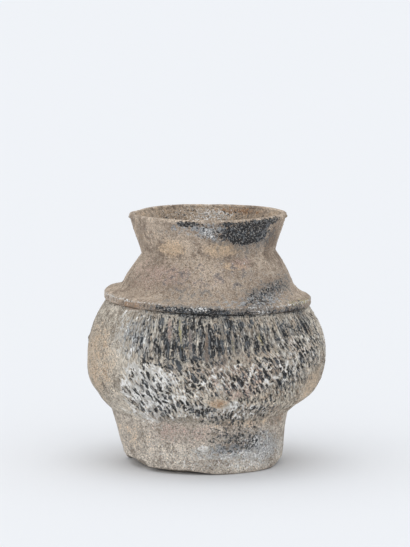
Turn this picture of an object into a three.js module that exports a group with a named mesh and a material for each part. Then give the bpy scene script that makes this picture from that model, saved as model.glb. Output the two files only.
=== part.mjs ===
// Hand-built earthenware jar, in millimetres, +Z up, with its mouth open and its foot on z = 0.
// The potter made it in stages and luted each leather-hard stage onto the one below: a floor disc, a
// thick foot wall set round it, a belly beaten out in two halves, an overhanging ledge at the shoulder,
// a conical shoulder, a flared neck and a rolled lip. Each stage is its own ring here, and every joint
// is the scarf that luting leaves: a bevelled face that climbs from the outside of the wall inwards.
// The front of the jar faces -Y and its right side is +X.
import * as THREE from "three";

// How much each stage adds to the height, from the ground up.
const footHeight = 34;
const lowerBellyRise = 36;
const upperBellyRise = 33.1;
const ledgeRise = 5.4;
const coveRise = 5.1;
const shoulderRise = 21.2;
const neckRise = 19.2;
const lipRise = 6;

// Outer radii at the joints and turning points.
const heelRadius = 50.8;
const waistRadius = 56.2;
const bellyRadius = 76;
const seatRadius = 64.3;
const shoulderRadius = 54.8;
const throatRadius = 42.6;
const lipRadius = 48.7;
const mouthRadius = 50.2;

// Wall thicknesses, measured square to the wall.
const floorThickness = 9;
const footWall = 8;
const bellyWall = 6.2;
const shoulderWall = 6;
const neckWall = 5;
const lipWall = 4.4;

// Edges: rounds, the floor's bevel, dish and cove, how far the ledge overhangs the belly's top edge, and
// the smear where the shoulder meets the ledge.
const heelRound = 2.8;
const discBevel = 3;
const floorCove = 3.5;
const floorDish = 1;
const ledgeOverhang = 1.5;
const ledgeNose = 1.5;
const shoulderCove = 3;
const lipRound = 2;

// Joints: how far a scarf climbs inwards, how far the folded lip's does, and the gap left in the lute.
const scarfRise = 3;
const lipScarfRise = 1;
const lutingGap = 0.3;

// How far the jar's axis wanders to the right of the belly's at each level, as built freehand. Just
// above the waist the belly is set on the foot, and a little higher it turns out.
const setRise = 4;
const turnRise = 13;
const footDrift = -2.5;
const setDrift = -4.4;
const turnDrift = -1.7;
const ledgeDrift = 0.7;
const shoulderDrift = 1;
const throatDrift = 1.1;
const mouthDrift = 0.8;

// How far each level leans, in degrees, with the right side lower where it is positive.
const waistLean = 1;
const ledgeLean = 1.8;
const shoulderLean = 0.6;
const throatLean = -1.6;
const mouthLean = -0.2;

// The section is a little out of round: two lobes, at an angle from the front towards the right.
const lobeHeight = 0.4;
const lobeAngle = 35;

// The heel is worn up at the front left, has lost a flake at the left, and is rubbed at the right. Each
// place is full over its half width and fades out beyond it. Angles are in degrees from the front towards
// the right. Wear reaches in under the foot by its reach, and ends at the height of the sound wall.
const wornPlaces = [
  { rise: 2.6, angle: -30, halfWidth: 15, fade: 31 },
  { rise: 6, angle: -72, halfWidth: 22, fade: 12 },
  { rise: 3, angle: 90, halfWidth: 12, fade: 20 },
];
const wearReach = 12;
const soundHeight = 18;

// Facets: steps round the jar, along a stretch of wall, and in a rounded edge.
const turnSteps = 48;
const wallSteps = 7;
const roundSteps = 3;

// Heights of the joints above the ground.
const waistHeight = footHeight;
const bellyHeight = waistHeight + lowerBellyRise;
const seatHeight = bellyHeight + upperBellyRise;
const ledgeHeight = seatHeight + ledgeRise;
const shoulderHeight = ledgeHeight + coveRise;
const throatHeight = shoulderHeight + shoulderRise;
const lipHeight = throatHeight + neckRise;
const jarHeight = lipHeight + lipRise;

const { lerp, degToRad, radToDeg, smoothstep } = THREE.MathUtils;
const point = (radius, height) => new THREE.Vector2(radius, height);

// A point part of the way from one station to the next, across and up by separate shares.
const partWay = (from, to, across, up) =>
  point(lerp(from.x, to.x, across), lerp(from.y, to.y, up));

// The stations of the outer wall, from the heel to the lip.
const heel = point(heelRadius, heelRound);
const waist = point(waistRadius, waistHeight);
const belly = point(bellyRadius, bellyHeight);
const seat = point(seatRadius, seatHeight);
const shoulder = point(shoulderRadius, shoulderHeight);
const throat = point(throatRadius, throatHeight);
const lip = point(lipRadius, lipHeight);

// Each stretch of wall is a cubic curve between two stations, given by its two handles as shares of the
// way: the foot tapers, the belly swells low and turns in hard, the shoulder is a slightly full cone.
const stretches = [
  { from: heel, to: waist, handles: [[0.3, 0.4], [0.5, 0.65]] },
  { from: waist, to: belly, handles: [[0.58, 0.33], [1, 0.37]] },
  { from: belly, to: seat, handles: [[0, 0.5], [0.7, 0.84]] },
  { from: seat, to: shoulder, handles: [[0.33, 0.33], [0.67, 0.67]] },
  { from: shoulder, to: throat, handles: [[0.13, 0.25], [0.49, 0.6]] },
  { from: throat, to: lip, handles: [[0.1, 0.2], [0.7, 0.68]] },
];
const stretchNames = ["foot", "lowerBelly", "upperBelly", "ledge", "shoulder", "neck"];
const stationWalls = [footWall, footWall, bellyWall, bellyWall, shoulderWall, neckWall, lipWall];

// The outer control points of the whole wall, in order, sharing each station between two stretches.
const outerControls = [
  heel,
  ...stretches.flatMap(({ from, to, handles }) => [
    ...handles.map(([across, up]) => partWay(from, to, across, up)),
    to,
  ]),
];

// The thickness at each control point, changing evenly from station to station.
const controlWalls = outerControls.map((_, i) => {
  const station = Math.min(Math.floor(i / 3), stretches.length - 1);
  return lerp(stationWalls[station], stationWalls[station + 1], (i - station * 3) / 3);
});

// The inner control points: each outer one moved square to the wall, mitred where the wall turns.
function insetControls(points, walls) {
  const legs = points.slice(1).map((p, i) => p.clone().sub(points[i]).normalize());
  return points.map((p, i) => {
    const before = legs[Math.max(i - 1, 0)];
    const after = legs[Math.min(i, legs.length - 1)];
    const inward = (leg) => point(-leg.y, leg.x);
    const mitre = inward(before).add(inward(after)).normalize();
    return p.clone().addScaledVector(mitre, walls[i] / mitre.dot(inward(after)));
  });
}

// The scarf joints climb towards the inside, so each inner station slides up along the wall.
function slideStations(points) {
  return points.map((p, i) => {
    if (i % 3 !== 0 || i === 0) return p;
    const along = (points[i + 1] ?? p).clone().sub(points[i - 1]).normalize();
    return p.clone().addScaledVector(along, points[i + 1] ? scarfRise : lipScarfRise);
  });
}

const innerControls = slideStations(insetControls(outerControls, controlWalls));

const stretchOf = (controls, name) => {
  const first = stretchNames.indexOf(name) * 3;
  return new THREE.CubicBezierCurve(...controls.slice(first, first + 4));
};
const outerWall = (name) => stretchOf(outerControls, name).getPoints(wallSteps);
const innerWall = (name) => stretchOf(innerControls, name).getPoints(wallSteps);

// A point lifted off the joint below by the luting gap, and a run of points lifted at its first one.
const lifted = (p) => point(p.x, p.y + lutingGap);
const seated = ([first, ...rest]) => [lifted(first), ...rest];

// A quarter round between two edges, from one point to another about their corner.
const rounded = (from, corner, to) =>
  new THREE.QuadraticBezierCurve(from, corner, to).getPoints(roundSteps);

// The jar was shaped by hand: its axis drifts, its levels lean, and its heel is worn.
const levels = [
  { height: 0, drift: footDrift, lean: 0 },
  { height: waistHeight + setRise, drift: setDrift, lean: waistLean },
  { height: waistHeight + turnRise, drift: turnDrift, lean: waistLean },
  { height: bellyHeight, drift: 0, lean: 0 },
  { height: ledgeHeight, drift: ledgeDrift, lean: ledgeLean },
  { height: shoulderHeight, drift: shoulderDrift, lean: shoulderLean },
  { height: throatHeight, drift: throatDrift, lean: throatLean },
  { height: jarHeight, drift: mouthDrift, lean: mouthLean },
];
function levelAt(height, key) {
  const above = levels.findIndex((level) => level.height > height);
  if (above === -1) return levels.at(-1)[key];
  const low = levels[Math.max(above - 1, 0)];
  return lerp(low[key], levels[above][key], smoothstep(height, low.height, levels[above].height));
}

// How far wear has lifted the foot, at an angle from the front, a radius and a height.
function wearAt(angle, radius, height) {
  const rises = wornPlaces.map(({ rise, angle: centre, halfWidth, fade }) =>
    rise * (1 - smoothstep(Math.abs(angle - centre), halfWidth, halfWidth + fade)));
  const outwards = smoothstep(radius, heelRadius - wearReach, heelRadius - heelRound);
  return Math.max(...rises) * outwards * (1 - smoothstep(height, 0, soundHeight));
}

function shapeByHand(geometry) {
  const position = geometry.getAttribute("position");
  for (let i = 0; i < position.count; i += 1) {
    const turned = new THREE.Vector3().fromBufferAttribute(position, i);
    const radius = Math.hypot(turned.x, turned.y);
    const angle = Math.atan2(turned.x, -turned.y);
    const lobe = lobeHeight * Math.cos(2 * (angle - degToRad(lobeAngle)));
    const share = 1 + (lobe * radius) / (bellyRadius * bellyRadius);
    const lean = Math.tan(degToRad(levelAt(turned.z, "lean")));
    position.setXYZ(
      i,
      turned.x * share + levelAt(turned.z, "drift"),
      turned.y * share,
      turned.z + wearAt(radToDeg(angle), radius, turned.z) - turned.x * lean,
    );
  }
  return geometry;
}

const jar = new THREE.Group();

// A ring of clay: its section runs from the outer foot of the ring up the outside, over its top joint
// and down the inside, and is closed by its bottom joint.
function addRing(name, color, roughness, section) {
  const closed = [...section, section[0].clone()];
  const geometry = new THREE.LatheGeometry(closed, turnSteps).rotateX(Math.PI / 2);
  const material = new THREE.MeshStandardMaterial({ color, roughness, metalness: 0 });
  const ring = new THREE.Mesh(shapeByHand(geometry), material);
  ring.name = name;
  jar.add(ring);
}

// Foot: a disc with a bevelled edge and a dished top, and a thick wall pressed down over the bevel.
const discTopRadius = heelRadius - footWall - floorCove;
const discUnderRadius = discTopRadius + discBevel;
const dishedTop = (share) =>
  point(discTopRadius * share, floorThickness - floorDish * (1 - share * share));

function addFloorDisc() {
  addRing("floor_disc", 0xa39382, 0.95, [
    point(0, 0),
    point(discUnderRadius / 2, 0),
    point(discUnderRadius, 0),
    dishedTop(1),
    dishedTop(0.5),
    dishedTop(0),
  ]);
}

function addFootWall() {
  const inner = innerWall("foot").at(-1);
  const inside = point(heelRadius - footWall, floorThickness);
  const under = point(discUnderRadius + lutingGap, 0);
  const heelEdge = point(heelRadius - heelRound, 0);
  const cove = new THREE.CubicBezierCurve(
    point(discTopRadius + lutingGap, floorThickness),
    inside,
    partWay(inside, inner, 0.2, 0.35),
    inner,
  );
  addRing("foot_wall", 0xab9a88, 0.93, [
    under,
    partWay(under, heelEdge, 0.5, 0),
    ...rounded(heelEdge, point(heelRadius, 0), heel),
    ...outerWall("foot").slice(1),
    ...cove.getPoints(wallSteps).reverse(),
  ]);
}

// A ring whose two sides are plain stretches of the wall.
function addWallRing(name, color, roughness, stretch) {
  addRing(name, color, roughness, [
    ...seated(outerWall(stretch)),
    ...seated(innerWall(stretch)).reverse(),
  ]);
}

// Ledge: a strip laid on the belly's top edge, with a blunt nose that stands out past it. Its top
// slopes up to the shoulder, whose smeared foot ends part of the way out.
const ledgeRadius = seatRadius + ledgeOverhang;
const nose = point(ledgeRadius - ledgeNose, ledgeHeight);
const coveFoot = partWay(shoulder, nose, 0.4, 0.5);

function addShoulderLedge() {
  const under = lifted(seat);
  const inner = innerWall("ledge");
  addRing("shoulder_ledge", 0x93867a, 0.92, [
    under,
    ...rounded(
      point(nose.x, under.y),
      point(ledgeRadius, under.y),
      point(ledgeRadius, under.y + ledgeNose),
    ),
    ...rounded(point(ledgeRadius, nose.y - ledgeNose), point(ledgeRadius, nose.y), nose),
    coveFoot,
    shoulder,
    inner.at(-1),
    lifted(inner[0]),
  ]);
}

// Shoulder: a cone whose foot is smeared out over the ledge in a hollow curve.
function addShoulderCone() {
  const wall = outerWall("shoulder");
  const coveTop = wall.find((p) => p.y > shoulder.y + shoulderCove);
  const coveCorner = point(shoulder.x + lutingGap, shoulder.y + lutingGap);
  addRing("shoulder_cone", 0x968779, 0.9, [
    ...rounded(lifted(coveFoot), coveCorner, coveTop),
    ...wall.filter((p) => p.y > coveTop.y),
    ...seated(innerWall("shoulder")).reverse(),
    lifted(shoulder),
  ]);
}

// Lip: the neck's edge folded outwards and rolled round with wet fingers.
function addRimLip() {
  const inside = mouthRadius - lipWall;
  const roundHeight = jarHeight - lipRound;
  addRing("rim_lip", 0xa8998a, 0.88, [
    lifted(lip),
    ...rounded(
      point(mouthRadius, roundHeight),
      point(mouthRadius, jarHeight),
      point(mouthRadius - lipRound, jarHeight),
    ),
    ...rounded(
      point(inside + lipRound, jarHeight),
      point(inside, jarHeight),
      point(inside, roundHeight),
    ),
    lifted(innerControls.at(-1)),
  ]);
}

addFloorDisc();
addFootWall();
addWallRing("lower_belly", 0x8e8379, 0.95, "lowerBelly");
addWallRing("upper_belly", 0x7d746c, 0.95, "upperBelly");
addShoulderLedge();
addShoulderCone();
addWallRing("neck_collar", 0x9a8b7e, 0.9, "neck");
addRimLip();

export default jar;
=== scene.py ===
"""Hand-built earthenware jar: the finish of every surface, in metres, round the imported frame.

The jar's wall is one line from the heel to the lip and one line inside it. Each stage of clay takes its
stretch of both lines, is turned into a closed ring, and is shaped by the same drift, lean and wear as
the frame's own pieces. Geometry Nodes press the cord marks in and scatter the crumbs of lime and grit.
"""

import logging
import math
from collections.abc import Mapping, Sequence
from dataclasses import dataclass, field
from enum import Enum
from typing import Any

import bpy
import numpy as np
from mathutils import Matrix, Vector


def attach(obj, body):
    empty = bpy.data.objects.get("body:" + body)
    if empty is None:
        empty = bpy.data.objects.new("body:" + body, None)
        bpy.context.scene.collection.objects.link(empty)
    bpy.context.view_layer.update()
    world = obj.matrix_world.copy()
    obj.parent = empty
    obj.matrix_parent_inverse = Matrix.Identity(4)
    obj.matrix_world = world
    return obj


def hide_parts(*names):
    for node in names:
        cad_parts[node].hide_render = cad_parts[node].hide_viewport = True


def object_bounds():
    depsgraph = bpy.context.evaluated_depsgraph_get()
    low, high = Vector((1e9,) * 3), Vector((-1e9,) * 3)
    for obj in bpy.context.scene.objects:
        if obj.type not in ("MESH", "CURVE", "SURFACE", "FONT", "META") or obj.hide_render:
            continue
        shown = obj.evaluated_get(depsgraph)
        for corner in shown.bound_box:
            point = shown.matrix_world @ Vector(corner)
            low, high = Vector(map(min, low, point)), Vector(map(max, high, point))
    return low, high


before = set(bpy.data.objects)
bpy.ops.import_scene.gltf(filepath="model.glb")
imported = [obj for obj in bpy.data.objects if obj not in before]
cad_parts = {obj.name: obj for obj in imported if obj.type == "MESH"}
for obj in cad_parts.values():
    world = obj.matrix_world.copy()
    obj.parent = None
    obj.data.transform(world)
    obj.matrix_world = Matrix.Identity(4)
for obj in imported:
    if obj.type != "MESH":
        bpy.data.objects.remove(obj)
CAD_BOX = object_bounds()

log = logging.getLogger("jar")
MM = 0.001
ROOT = "root"
Socket = bpy.types.NodeSocket
Inputs = Mapping[str | int, Any] | None
Shift = tuple[float, float, float]
Span = tuple[float, float]
NO_SHIFT: Shift = (0.0, 0.0, 0.0)


class Finish(Enum):
    """What lies on the clay, patch by patch. The value is the attribute that carries it.

    BARE is raised clay that the cord, the soot and the lime have missed.
    """

    SOOT = "soot"
    SMOKE = "smoke"
    # LIME also carries the painted highlight along the ledge's top edge.
    LIME = "lime"
    ASH = "ash"
    # RUST also carries painted shade under the ledge's left end.
    RUST = "rust"
    BUFF = "buff"
    ROSE = "rose"
    # UMBER also carries painted shade in a fold down the right of the neck.
    UMBER = "umber"
    OLIVE = "olive"
    BARE = "bare"


def linear(hex_colour: str) -> tuple[float, float, float, float]:
    """Turns an sRGB hex colour into linear light.

    Args:
        hex_colour: The colour as #rrggbb.

    Returns:
        Red, green, blue and alpha, linear.
    """
    shares = [int(hex_colour[i : i + 2], 16) / 255 for i in (1, 3, 5)]
    light = [s / 12.92 if s <= 0.04045 else ((s + 0.055) / 1.055) ** 2.4 for s in shares]
    return light[0], light[1], light[2], 1.0


def smoothstep(low: float, high: float, value: np.ndarray) -> np.ndarray:
    """Rises smoothly from 0 at low to 1 at high.

    Args:
        low: Where it starts to rise.
        high: Where it reaches 1. It may lie under low, and then the step falls.
        value: The values to map.

    Returns:
        The step at each value.
    """
    t = np.clip((value - low) / (high - low), 0, 1)
    return t * t * (3 - 2 * t)


def add_node(
    tree: bpy.types.NodeTree,
    kind: str,
    settings: Mapping[str, Any] | None = None,
    inputs: Inputs = None,
) -> bpy.types.Node:
    """Adds a node with its settings, values and links.

    Args:
        tree: The tree that gets the node.
        kind: The node's type name.
        settings: The node's own properties.
        inputs: A value or an output socket for each input, by its name or number.

    Returns:
        The new node.
    """
    node = tree.nodes.new(kind)
    for name, value in (settings or {}).items():
        setattr(node, name, value)
    for key, value in (inputs or {}).items():
        if isinstance(value, bpy.types.NodeSocket):
            tree.links.new(value, node.inputs[key])
        else:
            node.inputs[key].default_value = value
    return node


def add_object(name: str, data: bpy.types.ID) -> bpy.types.Object:
    """Adds an object to the scene, at the origin.

    Args:
        name: Its name.
        data: Its mesh, light or camera.

    Returns:
        The new object.
    """
    made = bpy.data.objects.new(name, data)
    bpy.context.scene.collection.objects.link(made)
    return made


@dataclass(frozen=True)
class Spots:
    """Spots on the turned jar.

    Their angles run from the front towards the right, in radians. Their distances from the axis and their
    heights above the ground are in millimetres.
    """

    angle: np.ndarray
    radius: np.ndarray
    height: np.ndarray

    def across(self, angle: float) -> np.ndarray:
        """How far round the wall each spot lies from an angle in degrees, in millimetres."""
        turned = (self.angle - math.radians(angle) + math.pi) % (2 * math.pi) - math.pi
        return turned * np.maximum(self.radius, 1)


@dataclass(frozen=True)
class WornPlace:
    """A stretch of the heel that wear has lifted, in millimetres and degrees from the front."""

    rise: float
    angle: float
    half_width: float
    fade: float


@dataclass(frozen=True)
class JarSizes:
    """The jar's driving sizes in millimetres and degrees, as the frame has them."""

    foot_height: float = 34
    lower_belly_rise: float = 36
    upper_belly_rise: float = 33.1
    ledge_rise: float = 5.4
    cove_rise: float = 5.1
    shoulder_rise: float = 21.2
    neck_rise: float = 19.2
    lip_rise: float = 6
    heel_radius: float = 50.8
    waist_radius: float = 56.2
    belly_radius: float = 76
    seat_radius: float = 64.3
    shoulder_radius: float = 54.8
    throat_radius: float = 42.6
    lip_radius: float = 48.7
    mouth_radius: float = 50.2
    floor_thickness: float = 9
    foot_wall: float = 8
    belly_wall: float = 6.2
    shoulder_wall: float = 6
    neck_wall: float = 5
    lip_wall: float = 4.4
    heel_round: float = 2.8
    disc_bevel: float = 3
    floor_cove: float = 3.5
    floor_dish: float = 1
    ledge_overhang: float = 1.5
    ledge_nose: float = 1.5
    shoulder_cove: float = 3
    lip_round: float = 2
    scarf_rise: float = 3
    lip_scarf_rise: float = 1
    set_rise: float = 4
    turn_rise: float = 13
    lobe_height: float = 0.4
    lobe_angle: float = 35
    worn_places: tuple[WornPlace, ...] = (
        WornPlace(2.6, -30, 15, 31),
        WornPlace(6, -72, 22, 12),
        WornPlace(3, 90, 12, 20),
    )
    wear_reach: float = 12
    sound_height: float = 18

    @property
    def heights(self) -> list[float]:
        """The heights of the joints, from the waist to the lip's crown."""
        rises = [self.foot_height, self.lower_belly_rise, self.upper_belly_rise, self.ledge_rise,
                 self.cove_rise, self.shoulder_rise, self.neck_rise, self.lip_rise]
        return list(np.cumsum(rises))


class JarLines:
    """The outer and inner lines of the jar's section, cut at the joints.

    Each stretch between two stations is a Bezier curve. HANDLES says how far along the straight line
    between them its two handles lie, in radius and in height.
    """

    CURVE_STEPS = 160
    DISH_STEPS = 40

    HANDLES = (
        ((0.3, 0.4), (0.5, 0.65)),
        ((0.58, 0.33), (1, 0.37)),
        ((0, 0.5), (0.7, 0.84)),
        ((0.33, 0.33), (0.67, 0.67)),
        ((0.13, 0.25), (0.49, 0.6)),
        ((0.1, 0.2), (0.7, 0.68)),
    )

    def __init__(self, sizes: JarSizes, spacing: float, inner_spacing: float) -> None:
        """Works the lines out.

        Args:
            sizes: The jar's sizes.
            spacing: How far apart the points of the outer line lie, in millimetres.
            inner_spacing: The same for the inner line.
        """
        s = self.sizes = sizes
        self.spacing = spacing
        self.inner_spacing = inner_spacing
        waist, belly, seat, ledge, shoulder, throat, lip, jar = s.heights
        self.jar_height = jar
        # Height, drift to the right in millimetres and lean to the right in degrees, level by level.
        self.levels = (
            (0, -2.5, 0),
            (waist + s.set_rise, -4.4, 1),
            (waist + s.turn_rise, -1.7, 1),
            (belly, 0, 0),
            (ledge, 0.7, 1.8),
            (shoulder, 1, 0.6),
            (throat, 1.1, -1.6),
            (jar, 0.8, -0.2),
        )
        self.stations = np.array([
            (s.heel_radius, s.heel_round), (s.waist_radius, waist), (s.belly_radius, belly),
            (s.seat_radius, seat), (s.shoulder_radius, shoulder), (s.throat_radius, throat),
            (s.lip_radius, lip),
        ], float)
        self.outer_controls = self._controls()
        self.inner_controls = self._inset()
        self.nose = np.array([s.seat_radius + s.ledge_overhang - s.ledge_nose, ledge])
        self.cove_foot = self.stations[4] + (self.nose - self.stations[4]) * (0.4, 0.5)
        self.disc_top = s.heel_radius - s.foot_wall - s.floor_cove
        self.disc_under = self.disc_top + s.disc_bevel
        self.outer = self._outer_stages()
        self.inner = self._inner_stages()

    def _controls(self) -> np.ndarray:
        """Places the outer control points, each station shared by two stretches.

        Returns:
            The points, three to a stretch and one more.
        """
        points = [self.stations[0]]
        for low, high, handles in zip(self.stations, self.stations[1:], self.HANDLES):
            points += [low + (high - low) * np.array(h) for h in handles] + [high]
        return np.array(points)

    def _inset(self) -> np.ndarray:
        """Places the inner control points square to the wall, and slides them up at the scarf joints.

        Returns:
            The points, one for each outer one.
        """
        s = self.sizes
        at_stations = [s.foot_wall, s.foot_wall, s.belly_wall, s.belly_wall, s.shoulder_wall, s.neck_wall,
                       s.lip_wall]
        walls = np.interp(np.arange(len(self.outer_controls)), np.arange(len(at_stations)) * 3, at_stations)
        points = self.outer_controls
        legs = np.diff(points, axis=0)
        legs /= np.linalg.norm(legs, axis=1)[:, None]
        inset = []
        for i, point in enumerate(points):
            sides = [legs[max(i - 1, 0)], legs[min(i, len(legs) - 1)]]
            inward = [np.array([-leg[1], leg[0]]) for leg in sides]
            mitre = (inward[0] + inward[1]) / np.linalg.norm(inward[0] + inward[1])
            inset.append(point + mitre * walls[i] / (mitre @ inward[1]))
        slid = np.array(inset)
        for i in range(3, len(slid), 3):
            last = i + 1 == len(slid)
            along = (inset[i] if last else inset[i + 1]) - inset[i - 1]
            slid[i] += along / np.linalg.norm(along) * (s.lip_scarf_rise if last else s.scarf_rise)
        return slid

    @staticmethod
    def curve(points: Sequence[np.ndarray]) -> np.ndarray:
        """Samples a Bezier curve finely.

        Args:
            points: Its three or four control points.

        Returns:
            Points along it.
        """
        t = np.linspace(0, 1, JarLines.CURVE_STEPS)[:, None]
        degree = len(points) - 1
        terms = [math.comb(degree, k) * (1 - t) ** (degree - k) * t**k * np.asarray(points[k], float)
                 for k in range(degree + 1)]
        return np.sum(terms, axis=0)

    def _even(self, runs: Sequence[np.ndarray], spacing: float) -> np.ndarray:
        """Joins runs of points into one line with even spacing, ends kept.

        Args:
            runs: Runs of points that follow each other.
            spacing: The wanted spacing in millimetres.

        Returns:
            The evenly spaced points.
        """
        line = np.concatenate(runs)
        steps = np.linalg.norm(np.diff(line, axis=0), axis=1)
        line = line[np.concatenate([[True], steps > 1e-6])]
        run = np.concatenate([[0], np.cumsum(np.linalg.norm(np.diff(line, axis=0), axis=1))])
        even = np.linspace(0, run[-1], max(2, round(run[-1] / spacing) + 1))
        return np.stack([np.interp(even, run, line[:, k]) for k in (0, 1)], axis=1)

    def _outer_stages(self) -> dict[str, np.ndarray]:
        """Draws the outer lines, from the underside of the heel over the lip to its joint inside.

        Returns:
            The line of each stage, by its name.
        """
        s = self.sizes
        c = self.outer_controls
        _, _, seat, _, shoulder, _, _, jar = s.heights
        nose = self.nose
        brim = s.seat_radius + s.ledge_overhang
        mouth, crown = s.mouth_radius, jar - s.lip_round
        inside = mouth - s.lip_wall
        heel_edge = (s.heel_radius - s.heel_round, 0)
        wall = self.curve(c[12:16])
        cove_top = wall[np.argmax(wall[:, 1] > shoulder + s.shoulder_cove)]
        runs = {
            "foot_wall": [
                np.array([(self.disc_under, 0), heel_edge]),
                self.curve([heel_edge, (s.heel_radius, 0), c[0]]),
                self.curve(c[0:4]),
            ],
            "lower_belly": [self.curve(c[3:7])],
            "upper_belly": [self.curve(c[6:10])],
            "shoulder_ledge": [
                np.array([c[9], (nose[0], seat)]),
                self.curve([(nose[0], seat), (brim, seat), (brim, seat + s.ledge_nose)]),
                self.curve([(brim, nose[1] - s.ledge_nose), (brim, nose[1]), nose]),
                np.array([nose, self.cove_foot]),
            ],
            "shoulder_cone": [
                self.curve([self.cove_foot, c[12], cove_top]),
                wall[wall[:, 1] > cove_top[1]],
            ],
            "neck_collar": [self.curve(c[15:19])],
            "rim_lip": [
                self.curve([c[18], c[18] + (c[18] - c[17]) * 0.8, (mouth, jar - s.lip_round * 1.6)]),
                self.curve([(mouth, crown), (mouth, jar), (mouth - s.lip_round, jar)]),
                self.curve([(inside + s.lip_round, jar), (inside, jar), (inside, crown)]),
                self.inner_controls[-1:],
            ],
        }
        return {name: self._even(run, self.spacing) for name, run in runs.items()}

    def _inner_stages(self) -> dict[str, np.ndarray]:
        """Draws the inner lines, from the floor's middle to the neck's top.

        Returns:
            The line of each stage, by its name.
        """
        s = self.sizes
        c = self.inner_controls
        inside = np.array([s.heel_radius - s.foot_wall, s.floor_thickness])
        share = np.linspace(0, 1, self.DISH_STEPS)
        dish = np.stack([self.disc_top * share, s.floor_thickness - s.floor_dish * (1 - share**2)], axis=1)
        cove = self.curve([dish[-1], inside, inside + (c[3] - inside) * (0.2, 0.35), c[3]])
        names = ("lower_belly", "upper_belly", "shoulder_ledge", "shoulder_cone", "neck_collar")
        runs = {"floor_disc": dish, "foot_wall": cove}
        runs |= {name: self.curve(c[3 * i + 3 : 3 * i + 7]) for i, name in enumerate(names)}
        return {name: self._even([run], self.inner_spacing) for name, run in runs.items()}

    def wear(self, spots: Spots) -> np.ndarray:
        """How far wear has lifted the foot.

        Args:
            spots: Where on the turned jar.

        Returns:
            The lift at each spot, in millimetres.
        """
        s = self.sizes
        degrees = np.degrees(spots.angle)
        rises = [
            p.rise * smoothstep(p.half_width + p.fade, p.half_width, np.abs(degrees - p.angle))
            for p in s.worn_places
        ]
        outwards = smoothstep(s.heel_radius - s.wear_reach, s.heel_radius - s.heel_round, spots.radius)
        return np.maximum.reduce(rises) * outwards * smoothstep(s.sound_height, 0, spots.height)

    def level(self, height: np.ndarray, column: int) -> np.ndarray:
        """Reads the levels, smoothed between one and the next.

        Args:
            height: Heights above the ground, in millimetres.
            column: 1 for the drift in millimetres, 2 for the lean in degrees.

        Returns:
            The drift or the lean at each height.
        """
        value = np.full(height.shape, float(self.levels[-1][column]))
        for low, high in zip(self.levels, self.levels[1:]):
            here = (height >= low[0]) & (height < high[0])
            step = smoothstep(low[0], high[0], height)
            value = np.where(here, low[column] + (high[column] - low[column]) * step, value)
        return np.where(height < 0, float(self.levels[0][column]), value)

    def shape_by_hand(self, spots: Spots) -> np.ndarray:
        """Places spots of the turned jar where the hand-built one has them.

        Args:
            spots: Where on the turned jar.

        Returns:
            The points, in millimetres.
        """
        s = self.sizes
        lobe = s.lobe_height * np.cos(2 * (spots.angle - math.radians(s.lobe_angle)))
        share = 1 + lobe * spots.radius / s.belly_radius**2
        turned_x = spots.radius * np.sin(spots.angle)
        lean = np.tan(np.radians(self.level(spots.height, 2)))
        return np.stack([
            turned_x * share + self.level(spots.height, 1),
            -spots.radius * np.cos(spots.angle) * share,
            spots.height + self.wear(spots) - turned_x * lean,
        ], axis=-1)


@dataclass(frozen=True)
class Patch:
    """A patch on the wall that fades like a breath on glass, in degrees from the front and millimetres.

    Its half sizes, to where it is half as strong, run round the wall and up it. Its tilt lifts its
    right end. Where it is under 1 strong, grain and blots break it up.
    """

    angle: float
    height: float
    wide: float
    tall: float
    strength: float = 1.0
    tilt: float = 0.0
    softness: float = 1.5
    nothing_left: float = 50

    def cover(self, spots: Spots) -> np.ndarray:
        """How much of each spot it covers.

        Args:
            spots: Where on the jar.

        Returns:
            Shares, from 0 to its strength.
        """
        across = spots.across(self.angle)
        up = spots.height - self.height
        cos, sin = math.cos(math.radians(self.tilt)), math.sin(math.radians(self.tilt))
        u = (across * cos + up * sin) / self.wide
        v = (up * cos - across * sin) / self.tall
        return self.strength * 0.5 ** np.minimum((u * u + v * v) ** self.softness, self.nothing_left)


@dataclass(frozen=True)
class Lump:
    """A lump on the clay, or a pit where its rise is negative, in degrees and millimetres."""

    angle: float
    height: float
    reach: float
    rise: float

    def lift(self, spots: Spots) -> np.ndarray:
        """How far it lifts each spot, in millimetres."""
        distance = np.hypot(spots.across(self.angle), spots.height - self.height)
        return self.rise * np.exp(-((distance / self.reach) ** 2))
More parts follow.
